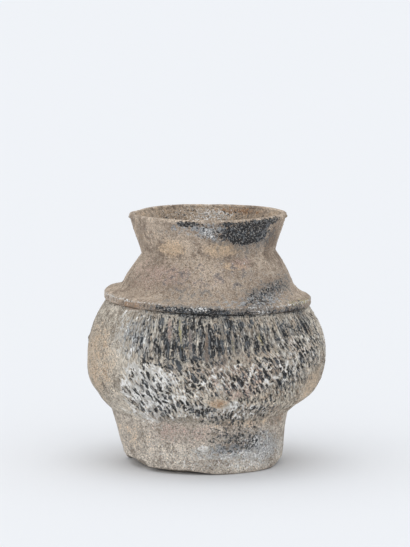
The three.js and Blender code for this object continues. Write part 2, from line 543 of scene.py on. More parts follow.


# What use, fire and burial left on the clay, placed as it lies in the photograph, and more of the
# same round the back, where the photograph doesn't reach. Each row is one Patch: its angle, height, half
# width, half height, strength and tilt. EVERYWHERE is a half width that runs all round.
EVERYWHERE = 1000.0
# A few rows are painted light rather than marks on the clay: a painted highlight along the ledge's top edge,
# and painted shade under its left end and in a fold of the neck.
PATCHES = {
    Finish.SOOT: (
        # neck and lip
        (32, 150.6, 14.5, 6.6, 1.75), (46, 156.8, 15, 2.4, 1.0, 5), (14, 157.2, 6, 1.6, 0.75),
        (-14, 157.3, 9, 2.0, 0.85), (2, 152, 14, 5, 0.36),
        # shoulder
        (36, 113, 20, 4.6, 0.52, 16), (62, 117, 12, 4, 0.34, 8),
        # ledge: a dark band along its outer face and into the gap under it
        (-6, 104.6, 30, 2.8, 0.85, -1), (44, 104.0, 26, 1.8, 0.5), (60, 107.6, 20, 2, 0.32),
        # upper belly
        (-9, 86, 24, 17, 0.62), (-18, 76, 9, 12, 0.3), (-8, 72, 13, 6, 0.32), (-4, 96, 28, 5, 0.32),
        (6, 88, 10, 8, 0.42), (27, 92, 21, 9, 0.5), (60, 84, 26, 20, 0.55), (60, 95, 9, 6, 0.4),
        (-37, 86, 12, 13, 0.44), (-28, 70, 9, 4, 0.5, -30),
        # lower belly
        (32, 68, 30, 17, 0.48), (42, 61, 8, 8, 0.4), (13, 60, 7, 5, 0.35), (-31, 58, 15, 14, 0.66),
        (-26, 46, 17, 7, 0.62, -10), (-8, 60, 10, 9, 0.45), (-3, 44, 13, 4, 1.0, -14),
        (28, 42, 22, 5, 0.5, 4), (20, 35, 26, 4, 0.46), (-24, 40, 12, 4, 0.5, -14), (14, 55, 24, 10, 0.4),
        (42, 41, 6, 4, 0.6),
        # foot
        (28, 24, 24, 7.5, 0.49), (37.5, 19.6, 4.6, 4.2, 0.58), (24, 16, 18, 2.2, 0.3),
        # round the back
        (150, 82, 55, 20, 0.55), (120, 62, 40, 14, 0.42), (-150, 62, 34, 18, 0.5),
        (170, 130, 22, 9, 0.6, -8), (-120, 104.5, 22, 3, 0.55), (140, 104, 30, 3, 0.6),
        (178, 154, 44, 5, 0.34),
    ),
    Finish.SMOKE: (
        # neck and lip
        (38, 146, 22, 9, 0.6), (-22, 154, 20, 4, 0.3), (3, 152, 9, 5, 0.55),
        # shoulder
        (38, 112.6, 22, 5, 0.7, 14), (64, 117, 14, 6, 0.46, 8), (0, 120, 40, 14, 0.32),
        # ledge
        # ledge: a dark band along its outer face and into the gap under it
        (50, 105, 34, 2.4, 0.5), (-6, 105, 30, 2.6, 0.75),
        # upper belly
        (-6, 86, 32, 17, 0.66), (32, 88, 30, 14, 0.55), (60, 76, 28, 22, 0.5), (61, 97, 7, 6, 0.8),
        (-36, 87, 12, 13, 0.55),
        # lower belly
        (40, 62, 14, 10, 0.45), (-29, 54, 17, 14, 0.4), (30, 41, 24, 5, 0.5), (-8, 36, 24, 3, 0.4),
        # foot
        (30, 21, 18, 7, 0.4), (22, 16, 20, 2.8, 0.6), (46, 19, 10, 7, 0.4),
        # round the back
        (160, 84, 70, 26, 0.5), (-160, 122, 30, 10, 0.6, 10),
    ),
    Finish.LIME: (
        # neck and lip
        (19, 129.8, 5, 1.8, 0.72, -10), (30, 131.6, 2.4, 1.4, 0.4), (1, 152.0, 6.0, 4, 0.6),
        (-88, 157.6, 4, 1.6, 0.7), (0, 159.6, EVERYWHERE, 0.7, 0.22),
        # shoulder
        (44, 113, 18, 5, 0.3, 10),
        # ledge
        (60, 108, 18, 2, 0.25), (-5, 106, 6, 1.3, 0.62), (-20, 105.6, 10, 1.3, 0.45),
        # The row at 107.7 mm that runs all round is a painted highlight: a pale line along the ledge's top
        # outer edge, laid as lime.
        (30, 104, 7, 1.8, 0.55), (0, 107.7, EVERYWHERE, 0.8, 0.45), (-66, 106, 26, 3.0, 0.42),
        # upper belly
        (-52, 98.5, 1.0, 4.5, 0.9, -24), (-47, 95, 1.0, 4, 0.7, 16), (58, 80, 30, 20, 0.14),
        (38, 87, 4, 3, 0.3), (-38, 99.5, 11, 2.6, 0.5), (-44, 86, 17, 13, 0.36), (-60, 70, 14, 16, 0.08),
        # lower belly
        (-33, 60, 14, 13, 0.78), (-34, 45, 13, 7, 0.8, -25), (-20, 63, 6, 4, 0.7), (-44, 55, 1.4, 7, 0.75),
        (-44, 43.5, 1.6, 5, 0.8, 24), (-38, 37.4, 6, 1.3, 0.8, -28), (-31, 34.4, 5, 1.3, 0.7, -22),
        (-18, 51, 16, 8, 0.5), (14, 66, 38, 11, 0.22), (4, 42, 36, 6, 0.3), (-46, 37, 15, 2.4, 0.5, -22),
        (14.9, 46.0, 3.4, 3.0, 2.4), (-17, 64, 3.8, 2.4, 2.0, -20), (-24, 68, 8, 2, 0.7, -45),
        (-34, 66, 9, 1.6, 0.8, -52), (-28, 58, 9, 1.4, 0.7, -52), (-37, 69, 5, 3, 0.6),
        # foot
        (1.4, 17.0, 3.3, 1.6, 2.4, 4), (74, 12, 8, 10, 0.6), (34, 9, 24, 5, 0.4), (44, 20, 18, 8, 0.55),
        (20, 3.5, 50, 3, 0.35), (8, 9, 52, 5.5, 0.4), (-26, 22, 36, 10, 0.3),
        # round the back
        (176, 153, 12, 4, 0.45), (160, 52, 34, 10, 0.42), (110, 84, 30, 22, 0.25), (-168, 153, 34, 6, 0.4),
    ),
    Finish.ASH: (
        (1, 152.4, 7, 4.6, 0.6), (-10, 154, 16, 4, 0.4), (-42, 89, 16, 13, 0.4), (50, 15, 13, 9, 0.85),
        (22, 13.5, 22, 4.4, 0.65), (30, 110.5, 24, 2.4, 0.5, 4), (-135, 88, 30, 14, 0.5),
    ),
    Finish.RUST: (
        # The first row is painted shade: a brown line in the gap under the ledge's left end, laid as rust.
        (-48, 104.6, 13, 2.6, 0.6), (154, 156, 17, 2.4, 0.6), (63, 33, 7, 4.5, 0.5),
        (-0.1, 84, 1.3, 9, 1.0, 1), (7.6, 48.2, 4.6, 2.4, 0.6),
    ),
    Finish.BUFF: (
        (180, 152, 120, 9, 0.35), (-32, 141, 9, 4.6, 0.95), (11, 140.4, 11, 4.2, 0.95),
        (66, 56, 13, 11, 0.7), (7.0, 48.6, 5.6, 3.2, 0.95), (17, 130, 4, 1.8, 1.3, -12),
        (26, 129.4, 3.4, 1.6, 1.2), (34, 33, 26, 3.0, 0.45), (-70, 68, 26, 22, 0.58), (20, 76, 30, 14, 0.4),
        (-60, 20, 26, 12, 0.3),
    ),
    Finish.ROSE: (
        (-19.6, 93, 1.5, 7, 1.1, 10), (-8.2, 88, 1.1, 7, 0.8, 8), (28, 131.5, 8, 3, 0.6),
        (-14, 27, 20, 7, 0.5), (16, 56, 14, 7, 0.5), (22, 68, 34, 10, 0.45), (-46, 124, 22, 10, 0.45),
        (-5, 124, 30, 8, 0.35),
    ),
    Finish.UMBER: (
        # The rows at 57 and 63 degrees are painted shade in a fold down the right of the neck, laid as umber.
        (172, 152, 70, 8, 0.3), (57, 139, 3.0, 9, 1.0), (63, 145, 7, 9, 0.75), (-66, 149, 4, 6, 0.32),
        (-52, 116, 18, 7, 0.35), (-70, 70, 26, 22, 0.26), (10, 155, 44, 3, 0.4),
    ),
    Finish.OLIVE: (
        (-13.6, 91.5, 0.9, 8, 0.42, 13), (12.5, 84.7, 0.9, 4, 0.42, 8), (27, 88, 1.4, 6, 0.35, 14),
        (-12, 82.7, 0.8, 0.8, 1.6), (84, 157, 5, 3, 0.4), (66, 108, 16, 1.6, 0.5),
    ),
    Finish.BARE: (
        # neck and lip
        (17, 130, 4, 1.8, 0.6, -12), (26, 129.4, 3.4, 1.6, 0.6), (-30, 140.5, 8, 4, 0.6),
        (11, 140.4, 10, 4, 0.6),
        # upper belly
        (-0.1, 84.4, 0.8, 9, 0.9, 1), (-19.6, 93, 1.1, 7, 0.85, 10), (-13.6, 91.5, 0.8, 8, 0.7, 13),
        (-8.2, 88, 0.8, 6.5, 0.75, 8), (7.2, 94, 0.6, 8, 0.8, 8), (12.5, 86, 0.7, 7, 0.6, 8),
        (-4, 71, 6, 3, 0.2, -30),
        # lower belly
        (7.0, 48.6, 5.2, 3.0, 1.5, -6), (17, 55, 6, 3, 0.35), (66, 56, 11, 9, 0.7),
    ),
}

# Lumps, knots and chips in the wall. Each row is one Lump: its angle, height, reach and rise.
LUMPS = tuple(Lump(*row) for row in (
    (-90, 79.5, 1.5, 0.9), (-61.4, 105.4, 1.3, -1.6), (-68, 107.5, 2.2, 0.7), (-76, 108.5, 2.6, 0.6),
    (-112, 108.5, 10, 0.9), (-55, 104.4, 2.0, 0.5), (-40, 104.2, 2.4, 0.4), (-6, 105.4, 2.0, 0.6),
    (32, 103.8, 2.2, 0.5), (14.9, 46, 2.8, 0.6), (2, 17.1, 3.0, 0.35), (74, 107, 2.4, -0.4),
    (-47, 37.5, 5, 0.45), (-58, 41, 4, 0.4), (-36, 33, 4, 0.4), (88, 55, 3, 0.5), (-115, 160, 14, -0.8),
    (20, 157, 9, -0.5), (-40, 150, 10, 0.5),
))


@dataclass(frozen=True)
class CordMarks:
    """The marks of a paddle wound with cord, in millimetres and degrees.

    Upright rows of marks stand over slanted ones. A row is a broad hollow between thin ridges, and the
    cord's twist breaks the slanted rows into beads. The left side is rubbed nearly smooth.
    """

    upright_count: int = 81
    upright_slant: float = 82
    strip_length: float = 20
    strip_width: float = 5.6
    bead_length: float = 9.5
    bead_width: float = 3.1
    bead_slant: float = 54
    depth: float = 0.7
    low: float = 35
    high: float = 100.8
    slant_top: float = 76
    slant_rise: float = 12
    slant_drop: float = 6
    turn_over: float = 8
    rubbed_angle: float = -88
    rubbed_share: float = 0.8

    def cover(self, spots: Spots) -> np.ndarray:
        """How deep the marks are at each spot, as a share.

        Args:
            spots: Where on the jar.

        Returns:
            Shares from 0 to 1.
        """
        foot = smoothstep(self.low - 4, self.low + 5, spots.height)
        top = smoothstep(self.high + 1.5, self.high - 1, spots.height)
        rubbed = smoothstep(56, 30, np.abs(np.degrees(spots.angle) - self.rubbed_angle))
        return foot * top * (1 - self.rubbed_share * rubbed)

    def slanted(self, spots: Spots) -> np.ndarray:
        """How far the slanted marks have taken over from the upright ones.

        Args:
            spots: Where on the jar.

        Returns:
            Shares from 0 to 1.
        """
        degrees = np.degrees(spots.angle)
        right, left = smoothstep(5, 50, degrees), smoothstep(-8, -40, degrees)
        top = self.slant_top + self.slant_rise * right - self.slant_drop * left
        return smoothstep(self.turn_over, -self.turn_over, spots.height - top)

    @staticmethod
    def weave(spots: Spots, radius: float, length: float, width: float, slant: float) -> np.ndarray:
        """Wraps a pattern of round cells on the jar so that each cell becomes a slanted bead.

        The beads lean down to the right. A metric of the bead's two axes splits into a stretch round the
        jar and up it, and a twist of the jar about its own axis, so that the pattern closes at the back.

        Args:
            spots: Where on the jar.
            radius: The jar's radius.
            length: The bead's length.
            width: Its width.
            slant: How steeply it falls.

        Returns:
            Where each spot lies in the pattern, in cells.
        """
        fall = math.radians(slant)
        along = np.array([math.cos(fall), -math.sin(fall)])
        over = np.array([math.sin(fall), math.cos(fall)])
        metric = np.outer(along, along) / length**2 + np.outer(over, over) / width**2
        split = np.linalg.cholesky(metric)
        girth = split[0, 0] * radius
        spin = spots.angle + spots.height * split[1, 0] / girth
        return np.stack([np.cos(spin) * girth, np.sin(spin) * girth, spots.height * split[1, 1]], axis=-1)


class ClayRing:
    """One stage of the jar as a closed ring of clay, or the disc that closes its foot.

    TURNS is how many points go round it. Rows with a relief over OUTSIDE lie on the outside. GROUND is
    where the relief fades in over the ground and MOUTH_DEPTH how far down the inside the stains reach,
    in millimetres.
    """

    TURNS = 840
    JOINT_STEPS = 4
    DISC_STEPS = 24
    INNER_RELIEF = 0.35
    OUTSIDE = 0.9
    GROUND = (0.2, 2.5)
    MOUTH_DEPTH = 14

    def __init__(self, name: str, lines: JarLines) -> None:
        """Takes the stage's stretch of the jar's lines.

        Args:
            name: The frame's node that the stage stands for.
            lines: The jar's lines.
        """
        self.name = name
        self.lines = lines
        self.points, self.outward, self.relief, self.edge = self._section()
        self.poles = self.points[:, 0] < 1e-6

    def _section(self) -> tuple[np.ndarray, np.ndarray, np.ndarray, np.ndarray]:
        """Goes round the section once, up the outside and down the inside.

        Returns:
            The points, their outward directions, how much of the skin's relief each takes, and whether
            an edge of the section is there.
        """
        outer = self.lines.outer.get(self.name)
        inner = self.lines.inner.get(self.name)
        if outer is None:
            flat = np.linspace((0, 0), (self.lines.disc_under, 0), self.DISC_STEPS)
            runs = [(flat, 0.0), (self._joint(flat[-1], inner[-1]), 0.0), (inner[::-1], self.INNER_RELIEF)]
        elif inner is None:
            runs = [(outer, 1.0), (self._joint(outer[-1], outer[0]), 0.0)]
        else:
            runs = [(outer, 1.0), (self._joint(outer[-1], inner[-1]), 0.0), (inner[::-1], self.INNER_RELIEF),
                    (self._joint(inner[0], outer[0]), 0.0)]
        points, outward, relief, edge = [], [], [], []
        for run, weight in runs:
            tangent = np.gradient(run, axis=0)
            tangent /= np.linalg.norm(tangent, axis=1)[:, None] + 1e-12
            points.append(run)
            outward.append(np.stack([tangent[:, 1], -tangent[:, 0]], axis=1))
            relief.append(np.full(len(run), weight))
            mark = np.zeros(len(run), bool)
            mark[[0, -1]] = True
            edge.append(mark)
        return tuple(np.concatenate(part) for part in (points, outward, relief, edge))

    def _joint(self, start: np.ndarray, end: np.ndarray) -> np.ndarray:
        """Returns the points of a joint face between two edges, without the edges themselves."""
        share = np.linspace(0, 1, self.JOINT_STEPS + 2)[1:-1, None]
        return start + (end - start) * share

    def mesh(self) -> bpy.types.Object:
        """Builds the ring with the attributes that the relief and the finish read.

        Returns:
            The new object, at the origin, in metres.
        """
        turn = np.arange(self.TURNS) / self.TURNS - 0.5
        angle = np.broadcast_to(turn * 2 * math.pi, (len(self.points), self.TURNS))
        radius = np.broadcast_to(self.points[:, :1], angle.shape)
        height = np.broadcast_to(self.points[:, 1:], angle.shape)
        spots = Spots(angle, radius, height)
        relief = self.relief[:, None]
        outside = relief > self.OUTSIDE
        out, up = self.outward[:, :1], self.outward[:, 1:]
        lift = sum(lump.lift(spots) for lump in LUMPS) * outside
        place = self.lines.shape_by_hand(Spots(angle, radius + lift * out, height + lift * up))
        mesh = bpy.data.meshes.new(self.name)
        self._fill(mesh, place * MM)
        marks = CordMarks()
        stained = outside | (height > self.lines.jar_height - self.MOUTH_DEPTH)
        layers = {finish.value: self._spread(finish, spots) * stained for finish in Finish}
        covered = 1 - layers[Finish.BARE.value]
        for finish in (Finish.SOOT, Finish.LIME):
            layers[finish.value] = layers[finish.value] * covered
        layers["turn"] = np.broadcast_to(turn, angle.shape)
        layers["height"] = height
        layers["skin"] = relief * smoothstep(*self.GROUND, height)
        layers["cord"] = marks.cover(spots) * outside * covered
        layers["slanted"] = marks.slanted(spots)
        girth = self.lines.sizes.belly_radius
        strip = (marks.strip_length, marks.strip_width, marks.upright_slant)
        bead = (marks.bead_length, marks.bead_width, marks.bead_slant)
        away = [out * np.sin(angle), -out * np.cos(angle), np.broadcast_to(up, angle.shape)]
        vectors = {
            "away": np.stack(away, axis=-1),
            "bead weave": marks.weave(spots, girth, *bead),
            "strip weave": marks.weave(spots, girth, *strip),
        }
        for group, kind, key in ((layers, "FLOAT", "value"), (vectors, "FLOAT_VECTOR", "vector")):
            for name, values in group.items():
                kept = self._kept(np.ascontiguousarray(values, np.float32))
                mesh.attributes.new(name, kind, "POINT").data.foreach_set(key, kept.ravel())
        return add_object(self.name + "_clay", mesh)

    @staticmethod
    def _spread(finish: Finish, spots: Spots) -> np.ndarray:
        """How much of each spot the patches of one finish cover together."""
        covers = [Patch(*row).cover(spots) for row in PATCHES[finish]]
        return 1 - np.prod([1 - np.clip(cover, 0, 1) for cover in covers], axis=0)

    def _kept(self, values: np.ndarray) -> np.ndarray:
        """Keeps one row of values for each point. A row of points on the axis is one point."""
        grid = values.reshape(len(self.points), self.TURNS, -1)
        return np.concatenate([grid[i, :1] if pole else grid[i] for i, pole in enumerate(self.poles)])

    def _fill(self, mesh: bpy.types.Mesh, place: np.ndarray) -> None:
        """Fills a mesh with the ring's points and faces, sharp along the section's edges.

        Args:
            mesh: The mesh to fill.
            place: Where the points of every row lie, in metres.
        """
        rows = len(self.points)
        counts = np.where(self.poles, 1, self.TURNS)
        row_of = np.repeat(np.arange(rows), counts)
        first = np.cumsum(counts) - counts
        step = np.arange(self.TURNS)
        index = [first[i] + step * (not pole) for i, pole in enumerate(self.poles)]
        quads, fans = [], []
        for i in range(rows - 1 if self.poles.any() else rows):
            low, high = index[i], index[(i + 1) % rows]
            corners = np.stack([low, np.roll(low, -1), np.roll(high, -1), high], axis=1)
            if self.poles[i]:
                fans.append(corners[:, [0, 2, 3]])
            elif self.poles[(i + 1) % rows]:
                fans.append(corners[:, [0, 1, 2]])
            else:
                quads.append(corners)
        faces = [face for part in quads + fans for face in part.tolist()]
        mesh.from_pydata(self._kept(place).tolist(), [], faces)
        mesh.shade_smooth()
        ends = np.empty(len(mesh.edges) * 2, np.int32)
        mesh.edges.foreach_get("vertices", ends)
        start, end = ends.reshape(-1, 2).T
        sharp = self.edge[row_of[start]] & (row_of[start] == row_of[end])
        mesh.attributes.new("sharp_edge", "BOOLEAN", "EDGE").data.foreach_set("value", sharp)


class NodeBench:
    """A node tree with the few steps that the relief and the finishes are put together from."""

    def __init__(self, tree: bpy.types.NodeTree) -> None:
        """Takes the tree to fill."""
        self.tree = tree

    def add(self, kind: str, inputs: Inputs = None, output: str | int = 0, **settings: Any) -> Socket:
        """Adds a node, as add_node does, and returns one of its outputs."""
        return add_node(self.tree, kind, settings, inputs).outputs[output]

    def math(self, operation: str, *values: Any) -> Socket:
        """Adds a Math node and returns its result."""
        return self.add("ShaderNodeMath", dict(enumerate(values)), operation=operation)

    def times(self, first: Any, second: Any) -> Socket:
        """Multiplies two values."""
        return self.math("MULTIPLY", first, second)

    def onto(self, base: Any, value: Any, share: Any) -> Socket:
        """Adds a share of a value onto a base."""
        return self.math("MULTIPLY_ADD", value, share, base)

    def blend(self, share: Any, first: Any, second: Any) -> Socket:
        """Mixes two values."""
        return self.add("ShaderNodeMix", {0: share, 2: first, 3: second})

    def scaled(self, vector: Socket, scale: Socket) -> Socket:
        """Scales a vector or a colour."""
        return self.add("ShaderNodeVectorMath", {0: vector, "Scale": scale}, operation="SCALE")

    def step(self, value: Socket, low: float, high: float) -> Socket:
        """A smooth step from 0 at low to 1 at high."""
        inputs = {"Value": value, "From Min": low, "From Max": high}
        return self.add("ShaderNodeMapRange", inputs, interpolation_type="SMOOTHSTEP")


class RingTree(NodeBench):
    """Geometry Nodes that work on a ring of clay and set a material at their end."""

    def __init__(self, label: str, numbers: Mapping[str, float], seed: int) -> None:
        """Makes the tree and its inputs.

        Args:
            label: What the tree does.
            numbers: The inputs that are plain numbers, and their values.
            seed: The seed of all that is random in it.
        """
        super().__init__(bpy.data.node_groups.new(label, "GeometryNodeTree"))
        face = self.tree.interface
        face.new_socket("Ring", in_out="INPUT", socket_type="NodeSocketGeometry")
        for name, value in numbers.items():
            face.new_socket(name, in_out="INPUT", socket_type="NodeSocketFloat").default_value = value
        face.new_socket("Seed", in_out="INPUT", socket_type="NodeSocketInt").default_value = seed
        clay = face.new_socket("Clay", in_out="INPUT", socket_type="NodeSocketMaterial")
        face.new_socket("Piece", in_out="OUTPUT", socket_type="NodeSocketGeometry")
        self.clay_socket = clay.identifier
        self.given = add_node(self.tree, "NodeGroupInput").outputs

    def named(self, name: str, kind: str = "FLOAT") -> Socket:
        """Reads one of the ring's attributes."""
        return self.add("GeometryNodeInputNamedAttribute", {"Name": name}, "Attribute", data_type=kind)

    def end(self, geometry: Socket) -> None:
        """Makes the copies real, sets the material and ends the tree.

        Args:
            geometry: What the tree has made.
        """
        real = self.add("GeometryNodeRealizeInstances", {"Geometry": geometry})
        dressed = self.add("GeometryNodeSetMaterial", {"Geometry": real, "Material": self.given["Clay"]})
        add_node(self.tree, "NodeGroupOutput", {}, {0: dressed})

    def bake(self, ring: bpy.types.Object, name: str, clay: bpy.types.Material) -> bpy.types.Object:
        """Runs the tree on a ring and keeps its result as a plain mesh inside the frame's box.

        Args:
            ring: The ring that the tree works on. It is removed.
            name: The new piece's name.
            clay: Its material.

        Returns:
            The new piece, at the origin.
        """
        modifier = ring.modifiers.new("nodes", "NODES")
        modifier.node_group = self.tree
        modifier[self.clay_socket] = clay
        evaluated = ring.evaluated_get(bpy.context.evaluated_depsgraph_get())
        mesh = bpy.data.meshes.new_from_object(evaluated)
        ring.modifiers.clear()
        bpy.data.objects.remove(ring)
        places = np.empty(len(mesh.vertices) * 3, np.float32)
        mesh.vertices.foreach_get("co", places)
        kept = np.clip(places.reshape(-1, 3), np.float32(CAD_BOX[0]), np.float32(CAD_BOX[1]))
        mesh.vertices.foreach_set("co", kept.ravel())
        mesh.update()
        mesh.name = name
        return add_object(name, mesh)


class ReliefTree(RingTree):
    """Presses the cord marks and the clay's grain into a ring."""

    def __init__(self, marks: CordMarks, radius: float) -> None:
        """Builds the tree.

        Args:
            marks: The cord marks.
            radius: The belly's radius in millimetres.
        """
        super().__init__("pressed cord marks", {
            "Mark depth": marks.depth * MM,
            "Grain depth": 0.2 * MM,
            "Unevenness": 1.5 * MM,
            "Crust height": 0.35 * MM,
            "Upright marks": float(marks.upright_count),
            "Upright lean": 1 / (math.tan(math.radians(marks.upright_slant)) * 2 * math.pi * radius),
        }, seed=3)
        self._wire()

    def _noise(self, size: float, detail: float) -> Socket:
        """Adds noise whose features are about size millimetres apart, from about -0.4 to 0.4.

        Args:
            size: How far apart its features lie.
            detail: How many finer layers it has.

        Returns:
            The noise.
        """
        place = self.add("GeometryNodeInputPosition")
        inputs = {"Vector": place, "W": self.given["Seed"], "Scale": 1 / (size * MM), "Detail": detail,
                  "Roughness": 0.6}
        return self.math("SUBTRACT", self.add("ShaderNodeTexNoise", inputs, noise_dimensions="4D"), 0.5)

    def _lines(self) -> Socket:
        """Makes the thin ridges between the upright marks.

        Returns:
            1 on a ridge, 0 off it.
        """
        leaning = self.onto(self.named("turn"), self.named("height"), self.given["Upright lean"])
        wander = self.times(self._noise(14, 2), 1.5)
        phase = self.onto(wander, leaning, self.given["Upright marks"])
        wave = self.math("COSINE", self.times(phase, 2 * math.pi))
        return self.math("POWER", self.onto(0.5, wave, 0.5), 3.0)

    def _cells(self, name: str, thin: float, wide: float) -> Socket:
        """Makes the ridges between slanted cells.

        Args:
            name: The attribute that says where each point lies in the cells.
            thin: Half a ridge's width where it is at full height, in cells.
            wide: Half its width at its foot.

        Returns:
            1 on a ridge, 0 in a hollow.
        """
        jitter = self.add("ShaderNodeVectorMath", {
            0: self.named(name, "FLOAT_VECTOR"), 1: self.times(self._noise(3.5, 1), 1.2)}, operation="ADD")
        cells = self.add("ShaderNodeTexVoronoi", {"Vector": jitter, "Scale": 1.0, "Randomness": 0.85},
                         "Distance", feature="DISTANCE_TO_EDGE")
        return self.step(cells, wide, thin)

    def _wire(self) -> None:
        """Links the ridges, the hollows, the grain, the swell of the wall and the crust."""
        given = self.given
        lines = self.times(self._lines(), self.step(self._noise(7, 3), -0.12, 0.06))
        strips = self.times(self._cells("strip weave", 0.03, 0.13), 0.6)
        beads = self._cells("bead weave", 0.04, 0.2)
        slanting = self.step(self.math("ADD", self.named("slanted"), self._noise(9, 1)), 0.35, 0.65)
        corded = self.named("cord")
        ridge = self.times(self.blend(slanting, self.math("MAXIMUM", lines, strips), beads), corded)
        marked = self.add("GeometryNodeStoreNamedAttribute",
                          {"Geometry": given["Ring"], "Name": "ridge", "Value": ridge},
                          data_type="FLOAT", domain="POINT")
        grain = self.times(self._noise(1.6, 3), self.onto(1.2, corded, 2.2))
        swell = self.math("SUBTRACT", self._noise(34, 2), 0.1)
        crusted = self.math("MAXIMUM", self.named("lime"), self.named("soot"))
        crust = self.times(self.math("MINIMUM", crusted, 1.0), self._noise(2.4, 2))
        depth = self.times(self.math("SUBTRACT", ridge, corded), given["Mark depth"])
        for relief, name in ((grain, "Grain depth"), (swell, "Unevenness"), (crust, "Crust height")):
            depth = self.onto(depth, relief, given[name])
        offset = self.scaled(self.named("away", "FLOAT_VECTOR"), self.times(depth, self.named("skin")))
        self.end(self.add("GeometryNodeSetPosition", {"Geometry": marked, "Offset": offset}))


class CrumbTree(RingTree):
    """Scatters angular crumbs over a ring."""

    def __init__(self, label: str, where: str, power: float, density: float, smallest: float, largest: float,
                 seed: int) -> None:
        """Builds the tree.

        Args:
            label: What the crumbs are.
            where: The attribute that says where they lie.
            power: How strongly they gather where it is high.
            density: How many lie on a square metre where it is 1.
            smallest: The smallest crumb's radius in millimetres.
            largest: The largest one's.
            seed: The seed of their places and sizes.
        """
        numbers = {"Density": density, "Smallest": smallest * MM, "Largest": largest * MM}
        super().__init__(label, numbers, seed)
        given = self.given
        outside = self.math("GREATER_THAN", self.named("skin"), ClayRing.OUTSIDE)
        kept = self.times(self.math("POWER", self.named(where), power), outside)
        density = self.times(kept, given["Density"])
        spots = add_node(
            self.tree, "GeometryNodeDistributePointsOnFaces", {"distribute_method": "RANDOM"},
            {"Mesh": given["Ring"], "Density": density, "Seed": given["Seed"]},
        ).outputs
        ball = self.add("GeometryNodeMeshIcoSphere", {"Radius": 1.0, "Subdivisions": 1})
        flat = self._random("FLOAT_VECTOR", {"Min": (0.6, 0.6, 0.3), "Max": (1.6, 1.0, 0.6)})
        size = self._random("FLOAT", {2: given["Smallest"], 3: given["Largest"]}, 1)
        spin = self._random("FLOAT_VECTOR", {"Min": (-0.4, -0.4, 0.0), "Max": (0.4, 0.4, 2 * math.pi)})
        turned = self.add("FunctionNodeRotateRotation", {0: spots["Rotation"], 1: spin},
                          rotation_space="LOCAL")
        self.end(self.add("GeometryNodeInstanceOnPoints", {
            "Points": spots["Points"],
            "Instance": ball,
            "Rotation": turned,
            "Scale": self.scaled(flat, size),
        }))

    def _random(self, kind: str, ends: dict[str | int, Any], output: int = 0) -> Socket:
        """Draws a random value between two ends."""
        inputs = ends | {"Seed": self.given["Seed"]}
        return self.add("FunctionNodeRandomValue", inputs, output, data_type=kind)


class ShaderBench(NodeBench):
    """A new material and its tree."""

    def __init__(self, name: str) -> None:
        """Makes the material with an empty tree.

        Args:
            name: The material's name.
        """
        self.made = bpy.data.materials.new(name)
        self.made.use_nodes = True
        super().__init__(self.made.node_tree)
        self.tree.nodes.clear()
        self.place = self.add("ShaderNodeTexCoord", output="Object")

    def attribute(self, name: str, output: str = "Fac") -> Socket:
        """Reads one of the ring's attributes."""
        return self.add("ShaderNodeAttribute", None, output, attribute_name=name)

    def noise(self, size: float, detail: float, roughness: float, shift: Shift = NO_SHIFT) -> Socket:
        """Adds noise on the object coordinates.

        Args:
            size: How far apart its features lie, in millimetres.
            detail: How many finer layers it has.
            roughness: How strong they are.
            shift: Moves the pattern, so that two of one size differ.

        Returns:
            The noise, about 0.5.
        """
        return self.noise_on(self.place, 1 / (size * MM), detail, roughness, shift)

    def noise_on(self, place: Socket, scale: float, detail: float, roughness: float, shift: Shift) -> Socket:
        """Adds noise on any coordinates, moved by a shift."""
        moved = self.add("ShaderNodeMapping", {"Vector": place, "Location": shift})
        return self.add("ShaderNodeTexNoise", {
            "Vector": moved, "Scale": scale, "Detail": detail, "Roughness": roughness})

    def mix(self, share: Any, first: Any, second: Any) -> Socket:
        """Mixes two colours, given as sockets or as sRGB hex."""
        colours = {key: linear(c) if isinstance(c, str) else c for key, c in ((6, first), (7, second))}
        return self.add("ShaderNodeMix", {0: share} | colours, 2, data_type="RGBA")

    def finished(self, inputs: Mapping[str, Any]) -> bpy.types.Material:
        """Ends the tree with a Principled shader.

        Args:
            inputs: What the shader gets, by its inputs' names.

        Returns:
            The material.
        """
        shader = self.add("ShaderNodeBsdfPrincipled", inputs)
        add_node(self.tree, "ShaderNodeOutputMaterial", {}, {"Surface": shader})
        return self.made


class ClayBench(ShaderBench):
    """The material of a ring, which knows its cord marks."""

    def __init__(self, name: str) -> None:
        """Makes the material and reads the cord marks.

        Args:
            name: The material's name.
        """
        super().__init__(name)
        self.corded = self.attribute("cord")
        self.ridge = self.attribute("ridge")

    def strokes(self, size: float, detail: float, roughness: float, shift: Shift = NO_SHIFT) -> Socket:
        """Adds noise that is drawn out along the cord marks where they are.

        Args:
            size: How far apart its features lie, in millimetres.
            detail: How many finer layers it has.
            roughness: How strong they are.
            shift: Moves the pattern, so that two of one size differ.

        Returns:
            The noise, about 0.5.
        """
        marks = CordMarks()
        upright, slanted = (
            self.noise_on(self.attribute(weave, "Vector"), width / size, detail, roughness, shift)
            for weave, width in (("strip weave", marks.strip_width), ("bead weave", marks.bead_width))
        )
        drawn = self.blend(self.attribute("slanted"), upright, slanted)
        return self.blend(self.corded, self.noise(size, detail, roughness, shift), drawn)

    def reach(self, cover: Socket, parts: Sequence[tuple[Socket, Any]], step: Span, fade: Span) -> Socket:
        """How far a finish reaches where its patches break up.

        Args:
            cover: How much the patches cover.
            parts: What breaks them up, and the share of each.
            step: The sums of all these at which the finish starts and is full.
            fade: The covers at which it starts and is full.

        Returns:
            The finish's amount, from 0 to 1.
        """
        amount = cover
        for value, share in parts:
            amount = self.onto(amount, value, share)
        return self.times(self.step(amount, *step), self.step(cover, *fade))


@dataclass(frozen=True)
class Tint:
    """A stain in the clay's surface, and in a few places painted shade laid as one: its colour, how strong it
    gets and how speckled it is.
    """

    finish: Finish
    colour: str
    strength: float
    speckle: float = 1.6


